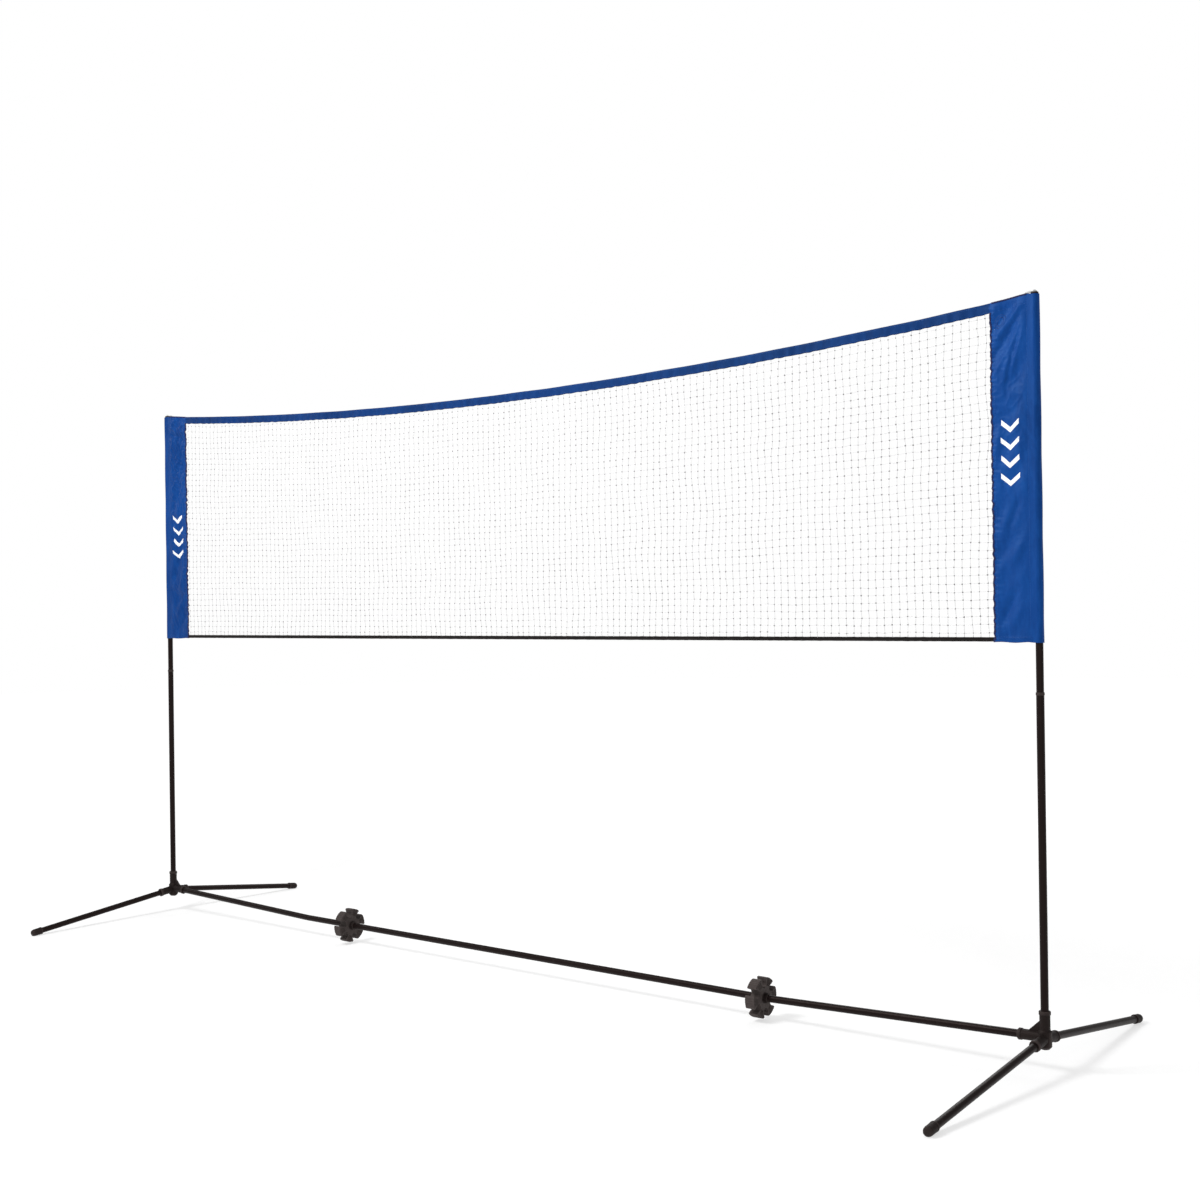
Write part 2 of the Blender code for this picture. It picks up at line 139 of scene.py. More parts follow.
class Look:
    """A Principled material that is put together from noise, waves, ramps and bumps."""

    def __init__(self, name, roughness=0.5, specular=0.5, metallic=0.0, **sockets):
        self.material = bpy.data.materials.new(name)
        self.material.use_nodes = True
        self.tree = self.material.node_tree
        self.shader = self.tree.nodes["Principled BSDF"]
        self.shader.inputs["Roughness"].default_value = roughness
        self.shader.inputs["Specular IOR Level"].default_value = specular
        self.shader.inputs["Metallic"].default_value = metallic
        for socket, value in sockets.items():
            self.shader.inputs[socket.replace("_", " ")].default_value = value
        self.place = self.node("ShaderNodeTexCoord").outputs["Object"]
        self.height = None

    def node(self, kind, **inputs):
        """A new node with its inputs set; _0 and _1 stand for inputs by number."""
        made = self.tree.nodes.new(kind)
        for key, value in inputs.items():
            self.feed(made.inputs[int(key[1:])] if key[0] == "_" else made.inputs[key], value)
        return made

    def feed(self, socket, value):
        if isinstance(value, bpy.types.NodeSocket):
            self.tree.links.new(value, socket)
        else:
            socket.default_value = value

    def stretched(self, scale, turn=(0, 0, 0)):
        return self.node("ShaderNodeMapping", Vector=self.place, Scale=scale, Rotation=turn).outputs[0]

    def noise(self, scale, detail=3.0, rough=0.55, place=None):
        place = self.place if place is None else place
        return self.node("ShaderNodeTexNoise", Vector=place, Scale=scale, Detail=detail,
                         Roughness=rough).outputs["Fac"]

    def cells(self, scale, place=None):
        place = self.place if place is None else place
        return self.node("ShaderNodeTexVoronoi", Vector=place, Scale=scale).outputs["Distance"]

    def wave(self, scale, axis="X", distortion=0.0, place=None):
        place = self.place if place is None else place
        made = self.node("ShaderNodeTexWave", Vector=place, Scale=scale, Distortion=distortion)
        made.bands_direction = axis
        return made.outputs["Fac"]

    def span(self, value, low, high, start=0.0, end=1.0):
        """The value with start..end brought to low..high."""
        made = self.node("ShaderNodeMapRange", Value=value)
        made.inputs["From Min"].default_value, made.inputs["From Max"].default_value = start, end
        made.inputs["To Min"].default_value, made.inputs["To Max"].default_value = low, high
        return made.outputs["Result"]

    def combine(self, operation, a, b):
        made = self.node("ShaderNodeMath", _0=a, _1=b)
        made.operation = operation
        return made.outputs[0]

    def mix(self, share, a, b):
        made = self.node("ShaderNodeMix")
        made.data_type = "RGBA"
        colours = [s for s in made.inputs if s.type == "RGBA"]
        self.feed(made.inputs["Factor"], share)
        self.feed(colours[0], a if isinstance(a, bpy.types.NodeSocket) else (*a, 1))
        self.feed(colours[1], b if isinstance(b, bpy.types.NodeSocket) else (*b, 1))
        return [s for s in made.outputs if s.type == "RGBA"][0]

    def colour(self, socket):
        self.feed(self.shader.inputs["Base Color"], socket)

    def rough(self, socket):
        self.feed(self.shader.inputs["Roughness"], socket)

    def bump(self, height, strength, distance):
        made = self.node("ShaderNodeBump", Height=height, Strength=strength, Distance=distance)
        if self.height is not None:
            self.feed(made.inputs["Normal"], self.height)
        self.height = made.outputs[0]
        self.feed(self.shader.inputs["Normal"], self.height)


def edge_wear(look, low, high):
    """0 on flat ground, rising to 1 on convex edges, as the pointiness goes from low to high."""
    return look.span(look.node("ShaderNodeNewGeometry").outputs["Pointiness"], 0, 1, low, high)


def tube_look():
    look = Look("tube_enamel", specular=0.12, Specular_Tint=(0.80, 0.62, 0.58, 1))
    cloud = look.noise(7.0, 4)
    scuff = look.span(look.noise(55, 6, 0.7, look.stretched((1, 1, 0.35))), 0, 1, 0.62, 0.78)
    base = look.mix(cloud, (0.0062, 0.0038, 0.0036), (0.0115, 0.0074, 0.0069))
    look.colour(look.mix(look.combine("MULTIPLY", scuff, 0.35), base, (0.060, 0.050, 0.048)))
    cloudy = look.span(look.noise(24, 3), 0.30, 0.46)
    look.rough(look.combine("ADD", cloudy, look.combine("MULTIPLY", scuff, 0.18)))
    look.bump(look.noise(620, 2), 0.10, 0.0004)
    look.bump(look.noise(90, 3), 0.10, 0.0008)
    return look.material


def plastic_look(name, dark, light, grain, specular=0.17):
    look = Look(name, specular=specular, Specular_Tint=(0.85, 0.70, 0.66, 1))
    cloud = look.noise(38, 4)
    worn = look.combine("MULTIPLY", edge_wear(look, 0.52, 0.60), look.span(look.noise(140, 4), 0.2, 0.9))
    tone = look.mix(cloud, dark, light)
    look.colour(look.mix(worn, tone, tuple(min(3.2 * c + 0.012, 0.2) for c in light)))
    look.rough(look.span(look.noise(260, 3), 0.46, 0.68))
    look.bump(look.cells(grain), 0.22, 0.00035)
    look.bump(look.noise(grain * 0.35, 4), 0.16, 0.0005)
    return look.material


def clip_look():
    look = Look("clip_moulded", specular=0.17, Specular_Tint=(0.85, 0.72, 0.68, 1))
    flow = look.noise(30, 5, 0.6)
    worn = look.combine("MULTIPLY", edge_wear(look, 0.51, 0.58), look.span(look.noise(120, 4), 0.3, 1.0))
    tone = look.mix(flow, (0.020, 0.0150, 0.0142), (0.036, 0.028, 0.0265))
    look.colour(look.mix(worn, tone, (0.070, 0.058, 0.055)))
    look.rough(look.span(look.noise(210, 3), 0.50, 0.72))
    look.bump(look.cells(900), 0.20, 0.0003)
    look.bump(flow, 0.12, 0.0010)
    return look.material


def steel_look():
    look = Look("zinc_plate", metallic=1.0, specular=0.5)
    look.colour(look.mix(look.cells(160), (0.42, 0.43, 0.45), (0.62, 0.62, 0.60)))
    look.rough(look.span(look.noise(90, 4), 0.24, 0.44))
    look.bump(look.noise(700, 2, 0.5, look.stretched((0.1, 1, 1))), 0.12, 0.0002)
    return look.material


def weave(look, pitch, strength, distance):
    """Over-and-under threads along X and Z; Y joins in so that the pocket's side is woven too."""
    warp, weft, round_the_pole = (look.wave(1 / pitch / 2, axis, 0.4) for axis in "XZY")
    threads = look.combine("MAXIMUM", look.combine("MULTIPLY", warp, 0.9), weft)
    threads = look.combine("ADD", threads, look.combine("MULTIPLY", round_the_pole, 0.25))
    look.bump(threads, strength, distance)
    return threads


def cloth_look(name, dark, mid, light, pitch=0.00055, rough=(0.40, 0.56), sheen=0.10):
    look = Look(name, specular=0.22, Specular_Tint=(0.20, 0.50, 1.0, 1), Sheen_Weight=sheen,
                Sheen_Roughness=0.35, Sheen_Tint=(0.20, 0.50, 1.0, 1))
    broad = look.noise(6.0, 3, 0.5, look.stretched((1.0, 1.0, 0.45), (0, 0.6, 0)))
    fine = look.noise(75, 5, 0.62, look.stretched((1, 1, 0.35), (0, 0.35, 0)))
    slub = look.noise(520, 2, 0.5, look.stretched((0.25, 1, 1)))
    tone = look.mix(look.span(broad, 0, 1, 0.36, 0.66), dark, mid)
    tone = look.mix(look.span(fine, 0, 0.55, 0.40, 0.75), tone, light)
    threads = weave(look, pitch, 0.16, 0.00022)
    tone = look.mix(look.span(threads, 0.16, 0.0), tone, tuple(c * 0.55 for c in dark))
    look.colour(look.mix(look.span(slub, 0, 0.16, 0.5, 0.8), tone, light))
    look.rough(look.span(look.noise(40, 4), *rough))
    look.bump(fine, 0.10, 0.0009)
    look.bump(look.noise(260, 3, 0.6), 0.05, 0.0004)
    return look.material


def webbing_look(name, dark, light, rib, gloss=0.20):
    look = Look(name, specular=gloss, Sheen_Weight=gloss / 3, Sheen_Roughness=0.4)
    ribs = look.wave(1 / rib / 2, "X", 0.6)
    rows = look.wave(1 / rib / 2.6, "Z", 0.5)
    both = look.combine("MULTIPLY", ribs, look.span(rows, 0.5, 1.0))
    worn = look.span(look.noise(60, 5), 0, 1, 0.45, 0.75)
    tone = look.mix(look.span(both, 0.0, 0.6), dark, light)
    look.colour(look.mix(look.combine("MULTIPLY", worn, 0.4), tone, tuple(1.5 * c for c in light)))
    look.rough(look.span(look.noise(220, 3), 0.55, 0.78))
    look.bump(both, 0.35, 0.0004)
    return look.material


def twine_look(name, dark, light, twist):
    look = Look(name, specular=0.35)
    diagonal = look.stretched((1, 1, 1), (0, 0.785, 0))
    ply = look.wave(1 / twist / 2, "X", 1.2, diagonal)
    soil = look.noise(9, 4)
    look.colour(look.mix(look.span(soil, 0, 1, 0.35, 0.7), look.mix(ply, dark, light), light))
    look.rough(look.span(look.noise(400, 2), 0.55, 0.8))
    look.bump(ply, 0.4, 0.0002)
    return look.material


def ink_look():
    look = Look("screen_print", specular=0.4)
    crack = look.span(look.noise(900, 4, 0.7), 0, 1, 0.60, 0.72)
    look.colour(look.mix(look.combine("MULTIPLY", crack, 0.35), (0.86, 0.87, 0.89), (0.42, 0.50, 0.68)))
    look.rough(look.span(look.noise(120, 3), 0.35, 0.5))
    look.bump(look.wave(1 / 0.0011, "X", 0.4), 0.12, 0.0002)
    return look.material


def floor_look():
    """Pale paper that glows a little, more so far away, where the lamps don't reach."""
    look = Look("studio_floor", specular=0.0, Emission_Color=(1, 1, 1, 1))
    look.colour(look.mix(look.noise(1.2, 3), (0.46, 0.46, 0.46), (0.48, 0.48, 0.48)))
    look.rough(look.span(look.noise(30, 3), 0.80, 0.95))
    away = look.node("ShaderNodeVectorMath", _0=look.place)
    away.operation = "LENGTH"
    glow = look.span(away.outputs["Value"], 0.58, 0.82, 1.3, 4.2)
    look.feed(look.shader.inputs["Emission Strength"], glow)
    return look.material


LOOKS = {
    "tube": tube_look(),
    "connector": plastic_look("connector_moulded", (0.008, 0.0056, 0.0052), (0.0165, 0.012, 0.0112), 1300),
    "cap": plastic_look("cap_rubber", (0.0090, 0.0065, 0.0060), (0.0170, 0.0125, 0.0118), 1000, 0.14),
    "clip": clip_look(),
    "steel": steel_look(),
    "sleeve": cloth_look("sleeve_taffeta", (0.0022, 0.029, 0.150), (0.0040, 0.046, 0.220),
                         (0.0075, 0.070, 0.295)),
    "band": cloth_look("band_taffeta", (0.0014, 0.017, 0.085), (0.0024, 0.026, 0.128),
                       (0.0050, 0.042, 0.180), 0.0005, (0.46, 0.62), 0.05),
    "binding": webbing_look("binding_tape", (0.008, 0.009, 0.048), (0.020, 0.019, 0.095), 0.0009),
    "webbing": webbing_look("bottom_webbing", (0.0050, 0.0038, 0.0036), (0.0150, 0.0110, 0.0105), 0.0012,
                            0.12),
    "twine": twine_look("net_twine", (0.60, 0.60, 0.61), (0.80, 0.80, 0.80), 0.0009),
    # The knots are the same white twine as the cords; their darker grey here is painted shade standing in for
    # the shade inside each knot.
    "knot": twine_look("net_knot", (0.13, 0.125, 0.125), (0.33, 0.32, 0.32), 0.0008),
    "elastic": twine_look("loop_elastic", (0.42, 0.42, 0.41), (0.74, 0.74, 0.72), 0.0008),
    "thread": twine_look("sewing_thread", (0.020, 0.070, 0.280), (0.050, 0.150, 0.480), 0.0005),
    "dark_thread": twine_look("dark_thread", (0.012, 0.012, 0.060), (0.060, 0.050, 0.170), 0.0005),
    "ink": ink_look(),
    "floor": floor_look(),
}

# The looks of the CAD nodes that stay, by how their names start
NODE_LOOKS = {
    "base_": "connector", "leg_": "tube", "foot_": "cap",
    "bar_end": "tube", "bar_middle": "tube", "bar_spigot": "steel",
    "clip_bush": "connector", "clip_left": "clip", "clip_right": "clip",
    "pole_lower": "tube", "pole_upper": "tube", "pole_collar": "connector", "pole_tip": "connector",
}

for node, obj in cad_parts.items():
    start = next((s for s in NODE_LOOKS if node.startswith(s)), None)
    if start:
        obj.data.materials.clear()
        obj.data.materials.append(LOOKS[NODE_LOOKS[start]])


# ---------------------------------------------------------------- mesh helpers

def piece(name, points, faces, look, body, slot):
    """A smooth mesh object that rides on a body."""
    mesh = bpy.data.meshes.new(name)
    points = np.asarray(points, float).reshape(-1, 3).tolist()
    mesh.from_pydata(points, [], [tuple(map(int, face)) for face in faces])
    mesh.validate()
    mesh.polygons.foreach_set("use_smooth", [True] * len(mesh.polygons))
    mesh.update()
    obj = bpy.data.objects.new(name, mesh)
    bpy.context.scene.collection.objects.link(obj)
    mesh.materials.append(LOOKS[look])
    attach(obj, body)
    return obj


def grid_faces(rows, columns, close_rows=False, close_columns=False, flip=False):
    """Quads of a rows x columns grid of points, counted row by row."""
    i = np.arange(rows if close_rows else rows - 1)
    j = np.arange(columns if close_columns else columns - 1)
    i, j = np.meshgrid(i, j, indexing="ij")
    a = i * columns + j
    b = i * columns + (j + 1) % columns
    c = (i + 1) % rows * columns + (j + 1) % columns
    d = (i + 1) % rows * columns + j
    quads = np.stack([a, b, c, d], axis=-1).reshape(-1, 4)
    return quads[:, ::-1] if flip else quads


def closed_tube_faces(rings, sides):
    """A tube's quads and its two end caps."""
    last = (rings - 1) * sides
    ends = [tuple(range(sides))[::-1], tuple(last + k for k in range(sides))]
    return [tuple(face) for face in grid_faces(rings, sides, close_columns=True)] + ends


def thicken(obj, thickness):
    modifier = obj.modifiers.new("thickness", "SOLIDIFY")
    modifier.thickness, modifier.offset = thickness, 0.0
    return obj


def joined(parts):
    """One list of points and one of faces, from several."""
    points, faces, count = [], [], 0
    for some, quads in parts:
        some = np.asarray(some, float).reshape(-1, 3)
        points.append(some)
        faces += [tuple(int(k) + count for k in face) for face in quads]
        count += len(some)
    return np.concatenate(points), faces


def waves(seed, count, shortest, longest, heading=0.0, spread=3.0):
    """A smooth random field of two variables, about 1 high, of sine waves that run about one heading."""
    random = np.random.default_rng(seed)
    k = 2 * math.pi / random.uniform(shortest, longest, count)
    turn = random.normal(heading, spread, count)
    phase = random.uniform(0, 2 * math.pi, count)

    def field(a, b):
        a, b = np.asarray(a, float), np.asarray(b, float)
        total = sum(np.sin(k[n] * (np.cos(turn[n]) * a + np.sin(turn[n]) * b) + phase[n])
                    for n in range(count))
        return total / math.sqrt(count / 2)

    return field


def stitches(centres, directions, normals, length=0.0025, width=0.00028, height=0.00026):
    """A lozenge of thread for each stitch."""
    parts = []
    shape = [(1, 0, 0), (0, 1, 0), (0, 0, 1), (0, -1, 0), (0, 0, -0.4), (-1, 0, 0)]
    faces = [(0, 1, 2), (0, 2, 3), (0, 3, 4), (0, 4, 1), (5, 2, 1), (5, 3, 2), (5, 4, 3), (5, 1, 4)]
    for centre, along, out in zip(centres, directions, normals):
        side = np.cross(out, along)
        axes = np.array([along * length / 2, side * width, out * height])
        parts.append((centre + np.array(shape) @ axes, faces))
    return joined(parts)


def eased(share):
    """0 below 0, 1 above 1, and a smooth rise between."""
    share = np.clip(share, 0, 1)
    return share * share * (3 - 2 * share)


def unit(v):
    return v / np.maximum(np.linalg.norm(v, axis=-1, keepdims=True), 1e-9)


# ---------------------------------------------------------------- side sleeves

# Soft folds: from (u, z) to (u, z), how wide, how deep towards the front
FOLDS = {
    "right": [
        ((0.014, 1.542), (0.094, 1.462), 0.009, 0.0026),
        ((0.020, 1.525), (0.096, 1.425), 0.008, -0.0028),
        ((0.018, 1.500), (0.056, 1.385), 0.006, 0.0024),
        ((0.026, 1.490), (0.066, 1.365), 0.006, -0.0026),
        ((0.038, 1.470), (0.098, 1.385), 0.006, 0.0018),
        ((0.052, 1.440), (0.074, 1.340), 0.007, 0.0016),
        ((0.090, 1.300), (0.040, 1.370), 0.012, 0.0016),
        ((0.070, 1.270), (0.028, 1.350), 0.012, -0.0018),
        ((0.092, 1.215), (0.078, 1.300), 0.007, 0.0014),
        ((0.060, 1.130), (0.050, 1.250), 0.010, 0.0012),
        ((0.032, 1.150), (0.064, 1.078), 0.009, -0.0034),
        ((0.080, 1.040), (0.060, 1.120), 0.010, 0.0016),
        ((0.024, 1.060), (0.060, 1.010), 0.009, 0.0014),
        ((0.040, 0.970), (0.080, 0.888), 0.010, -0.0036),
        ((0.092, 0.975), (0.062, 1.035), 0.009, 0.0014),
        ((0.030, 0.930), (0.060, 0.880), 0.008, 0.0014),
    ],
    "left": [
        ((0.014, 1.512), (0.092, 1.496), 0.008, 0.0026),
        ((0.018, 1.496), (0.096, 1.466), 0.009, -0.0034),
        ((0.090, 1.440), (0.060, 1.370), 0.006, 0.0024),
        ((0.078, 1.440), (0.048, 1.360), 0.006, -0.0024),
        ((0.096, 1.390), (0.070, 1.310), 0.006, 0.0024),
        ((0.060, 1.330), (0.034, 1.250), 0.012, -0.0036),
        ((0.040, 1.300), (0.066, 1.210), 0.012, 0.0026),
        ((0.060, 1.120), (0.030, 1.030), 0.013, -0.0036),
        ((0.086, 1.080), (0.060, 1.000), 0.010, 0.0026),
        ((0.080, 0.990), (0.045, 0.920), 0.011, 0.0030),
        ((0.094, 0.940), (0.050, 0.885), 0.009, -0.0028),
    ],
}


class Sleeve:
    """The surface of one side sleeve: a pocket round the pole and a two-layer panel."""

    def __init__(self, side):
        self.sign = SIDES[side]
        seed = SEEDS[side]
        self.folds = FOLDS[side]
        self.crease_depth = CREASE_DEPTHS[side]
        self.broad = waves(seed, 9, 0.050, 0.150, 0.9, 0.5)
        self.crumple = waves(seed + 1, 14, 0.018, 0.046, 0.7, 0.8)
        self.pucker = waves(seed + 2, 7, 0.008, 0.016, 1.571, 0.15)
        self.scallop = waves(seed + 3, 6, 0.012, 0.030, 1.571, 0.1)
        self.puff = waves(seed + 4, 6, 0.040, 0.110)

    def top(self, u):
        """Height of the upper edge, which dips over the pocket."""
        share = np.clip(u / EDGE_U, 0, 1)
        dip = 0.0028 * np.clip((0.0150 - np.asarray(u)) / 0.0090, 0, 1)
        return SLEEVE_HIGH.z - (SLEEVE_HIGH.z - BAND_TOP) * share ** 1.25 - dip

    def bottom(self, u):
        return SLEEVE_LOW.z + PANEL_RISE * np.clip((u - SEAM_U) / 0.004, 0, 1) + 0.0008 * np.sin(u * 95)

    def edge(self, z):
        """How far in the puckered inner edge is."""
        return EDGE_U - 0.0007 + 0.0006 * self.scallop(0.0, z)

    def relief(self, u, z):
        """How far the middle of the panel stands to the back: waves, creases, folds and puckers."""
        inside = np.clip((u - SEAM_U) / 0.020, 0, 1)
        calm = np.clip((z - SLEEVE_LOW.z) / 0.030, 0.25, 1) * np.clip((self.top(u) - z) / 0.020, 0.30, 1)
        upper = 0.4 + 0.6 * np.clip((z - 1.10) / 0.25, 0, 1)
        crease = np.exp(-1.6 * np.abs(self.crumple(u, z)))
        y = WAVE_DEPTH * self.broad(u, z) - self.crease_depth * upper * crease
        for (u0, z0), (u1, z1), width, depth in self.folds:
            du, dz = u1 - u0, z1 - z0
            long = math.hypot(du, dz)
            along = ((u - u0) * du + (z - z0) * dz) / long ** 2
            across = ((u - u0) * dz - (z - z0) * du) / long
            y = y - FOLD_SCALE * depth * np.exp(-((along - 0.5) / 0.46) ** 4) * np.exp(-(across / width) ** 2)
        near_edge = np.exp(-np.clip(self.edge(z) - u, 0, 1) / 0.012)
        near_seam = np.exp(-np.clip(u - SEAM_U, 0, 1) / 0.010)
        share = np.clip((u - SEAM_U) / 0.062, 0, 1)
        y = y * inside * (1 - 0.55 * near_edge) * calm + SEAM_Y * (1 - share) ** 2 * (1 + 2 * share)
        pucker = self.pucker(u, z)
        return y + pucker * (EDGE_PUCKER * near_edge + SEAM_PUCKER * near_seam * inside)

    def gap(self, u, z):
        """Half the distance between the panel's two layers."""
        share = np.clip((u - SEAM_U) / (self.edge(z) - SEAM_U), 0, 1)
        loft = LOFT + 0.0005 * np.clip(self.puff(u, z), -1, 1)
        hem = 0.0008 * np.clip((self.bottom(u) + HEM - z) / 0.0012, 0, 1)
        return 0.00055 + loft * np.sin(math.pi * share) ** 0.8 + hem

    def at(self, u, z, layer, lift=0.0):
        """Points on the panel's front (-1) or back (1), or between its layers."""
        u, z = np.broadcast_arrays(np.asarray(u, float), np.asarray(z, float))
        y = self.relief(u, z) + layer * (self.gap(u, z) + lift)
        return np.stack([self.sign * (POLE_X - u), y, z], axis=-1)

    def out(self, u, z, layer):
        """The surface's outward direction."""
        step = 0.0006
        du = self.at(u + step, z, layer) - self.at(u - step, z, layer)
        dz = self.at(u, z + step, layer) - self.at(u, z - step, layer)
        normal = unit(np.cross(du, dz))
        return normal * np.where(normal[..., 1:2] * layer < 0, -1, 1)


def sleeve_cloth(side, sleeve, rows=300, panel=48, pocket=24):
    """The cloth itself: front panel, round the pole, and back panel, in one strip."""
    v = np.linspace(0, 1, rows)[:, None]
    shares = np.linspace(1, 0, panel + 1)[None, :]
    columns = []
    for layer in (-1, 1):
        z_middle = SLEEVE_LOW.z + v * (BAND_TOP - SLEEVE_LOW.z)
        u = SEAM_U + shares * (sleeve.edge(z_middle) - SEAM_U)
        z = sleeve.bottom(u) + v * (sleeve.top(u) - sleeve.bottom(u))
        columns.append(sleeve.at(u, z, layer))
    tangent = math.acos(POCKET_R / math.hypot(SEAM_U, SEAM_Y))
    seam = math.atan2(SEAM_Y, SEAM_U)
    angles = np.linspace(seam - tangent, seam + tangent - 2 * math.pi, pocket)[None, :]
    z = sleeve.bottom(0.0) + v * (sleeve.top(0.0) - sleeve.bottom(0.0))
    slack = 0.00035 * (1 + np.sin(3 * angles + 38 * z)) * np.abs(np.sin(angles / 2))
    u = (POCKET_R + slack) * np.cos(angles)
    y = (POCKET_R + slack) * np.sin(angles)
    u, z = np.broadcast_arrays(u, z)
    around = np.stack([sleeve.sign * (POLE_X - u), y, z], axis=-1)
    strip = np.concatenate([columns[0], around, columns[1][:, ::-1]], axis=1)
    faces = grid_faces(rows, strip.shape[1], flip=side == "left")
    obj = piece(f"sleeve_cloth_{side}", strip, faces, "sleeve", "net", "sleeve_polyester")
    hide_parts(f"sleeve_{side}")
    return thicken(obj, CLOTH)


def mirrored(front, middle):
    """Steps down the front, over the middle and down the back; each holds its layer second."""
    return front + [middle] + [(step[0], -step[1], *step[2:]) for step in front[::-1]]


def edge_binding(side, sleeve, rows=230):
    """Tape folded over the sleeve's inner edge, where the net is sewn in."""
    z = np.linspace(SLEEVE_LOW.z + PANEL_RISE + 0.0004, BAND_TOP - BAND_DEPTH + 0.0015, rows)[:, None]
    wide = 0.0036 + 0.0004 * sleeve.pucker(0.3, z)
    edge = sleeve.edge(z)
    front = [(-1.0, -1), (-0.72, -1), (-0.42, -1), (-0.12, -1), (0.10, -0.55)]
    steps = mirrored(front, (0.17, 0))
    columns = []
    for inwards, layer in steps:
        u = edge + inwards * wide
        columns.append(sleeve.at(u, z, layer, 0.00045 if abs(layer) == 1 else 0.0002))
    strip = np.concatenate(columns, axis=1)
    faces = grid_faces(rows, len(steps), flip=side == "right")
    return thicken(piece(f"edge_binding_{side}", strip, faces, "binding", "net", "band_polyester"), TAPE)


def top_binding(side, sleeve, columns=46):
    """Narrow tape over the panel's top edge."""
    u = np.linspace(SEAM_U + 0.001, EDGE_U - 0.0052, columns)[None, :]
    front = [(-0.0028, -1, 0.0005), (-0.0019, -1, 0.00045), (-0.0010, -1, 0.0005), (0.0003, -0.6, 0.0003)]
    steps = mirrored(front, (0.0006, 0, 0))
    rows = [sleeve.at(u, sleeve.top(u) + fall + 0.00015 * np.sin(u * 900), layer, lift)
            for fall, layer, lift in steps]
    strip = np.concatenate(rows, axis=0)
    faces = grid_faces(len(steps), columns, flip=side == "left")
    return thicken(piece(f"top_binding_{side}", strip, faces, "binding", "net", "band_polyester"), TAPE)


def row_of_stitches(sleeve, u, z, layer, lift, **size):
    """Stitches along a line of (u, z) points, one between each two."""
    points = sleeve.at(u, z, layer, lift)
    middles = (points[1:] + points[:-1]) / 2
    along = unit(points[1:] - points[:-1])
    out = sleeve.out((u[1:] + u[:-1]) / 2, (z[1:] + z[:-1]) / 2, layer)
    return stitches(middles, along, out, **size)


def patch_ring(half_wide, half_tall, slant, turn):
    """Points (u, z) of a slanted oval about the patch's middle."""
    u = PATCH_U + half_wide * np.cos(turn)
    z = BAND_TOP - PATCH_DROP + half_tall * np.sin(turn) + slant * np.cos(turn)
    return u, z


def sleeve_stitching(side, sleeve):
    """Light rows along the seams and hems, dark ones on the bindings and round the patch."""
    light, dark = [], []
    tall = np.arange(SLEEVE_LOW.z + 0.004, BAND_TOP - 0.003, STITCH_PITCH)
    for layer in LAYERS.values():
        light.append(row_of_stitches(sleeve, np.full_like(tall, SEAM_U + 0.0011), tall, layer, 0.0002))
        dark.append(row_of_stitches(sleeve, sleeve.edge(tall) - 0.0026, tall, layer, 0.00068))
        light.append(row_of_stitches(sleeve, sleeve.edge(tall) - 0.0085, tall + 0.001, layer, 0.0002))
        across = np.arange(SEAM_U + 0.002, EDGE_U - 0.007, STITCH_PITCH)
        light.append(row_of_stitches(sleeve, across, sleeve.bottom(across) + HEM - 0.0018, layer, 0.0002))
        light.append(row_of_stitches(sleeve, across, sleeve.bottom(across) + 0.0022, layer, 0.0002))
        dark.append(row_of_stitches(sleeve, across, sleeve.top(across) - 0.0022, layer, 0.00072))
        light.append(row_of_stitches(sleeve, across, sleeve.top(across) - 0.0195, layer, 0.0002))
        turn = np.linspace(0, 2 * math.pi, 27)
        for grow, lift in ((1.0, 0.0009), (0.62, 0.0013)):
            ring = patch_ring(grow * 0.0115, grow * 0.0130, PATCH_SLANT, turn)
            dark.append(row_of_stitches(sleeve, *ring, layer, lift, width=0.0004))
    return [piece(f"sleeve_stitching_{side}", *joined(light), "thread", "net", "sleeve_polyester"),
            piece(f"edge_stitching_{side}", *joined(dark), "dark_thread", "net", "band_polyester")]


def corner_patch(side, sleeve):
    """The round reinforcement sewn on both faces near the top inner corner."""
    parts = []
    rings, spokes = 7, 36
    turn = np.linspace(0, 2 * math.pi, spokes, endpoint=False)
    for layer in LAYERS.values():
        points = []
        for share in np.arange(rings) / (rings - 1):
            u, z = patch_ring(share * 0.0135, share * 0.0150, share * PATCH_SLANT, turn)
            lift = 0.0007 * (1 - share ** 6) + 0.0001 + 0.0002 * np.sin(5 * turn) * share * (1 - share)
            points.append(sleeve.at(u, z, layer, lift))
        faces = grid_faces(rings, spokes, close_columns=True, flip=(layer > 0) != (side == "left"))
        parts.append((np.concatenate(points), faces))
    return piece(f"corner_patch_{side}", *joined(parts), "sleeve", "net", "sleeve_polyester")


def chevrons(side, sleeve):
    """A plain column of printed chevrons on the front of the panel."""
    parts = []
    rows, columns = 6, 29
    across = np.linspace(-1, 1, columns)[None, :]
    deep = np.linspace(0, 1, rows)[:, None]
    for number in range(CHEVRONS):
        top = CHEVRON_TOPS[side] - number * CHEVRON_PITCH
        z = top - CHEVRON_DROP * (1 - np.abs(across)) - CHEVRON_STROKE * deep
        points = sleeve.at(CHEVRON_U + CHEVRON_HALF * across, z, -1, 0.00035)
        parts.append((points, grid_faces(rows, columns, flip=side == "left")))
    return piece(f"print_{side}", *joined(parts), "ink", "net", "sleeve_polyester")


SLEEVES = {side: Sleeve(side) for side in SIDES}


def build_sleeves():
    for side, sleeve in SLEEVES.items():
        cloth = sleeve_cloth(side, sleeve)
        extras = [edge_binding(side, sleeve), top_binding(side, sleeve), *sleeve_stitching(side, sleeve),
                  corner_patch(side, sleeve), chevrons(side, sleeve)]


# ---------------------------------------------------------------- bands

def top_line(x):
    """Height of the top band's upper edge."""
    return BAND_TOP - BAND_SAG * (1 - (np.asarray(x) / BAND_X) ** 2)


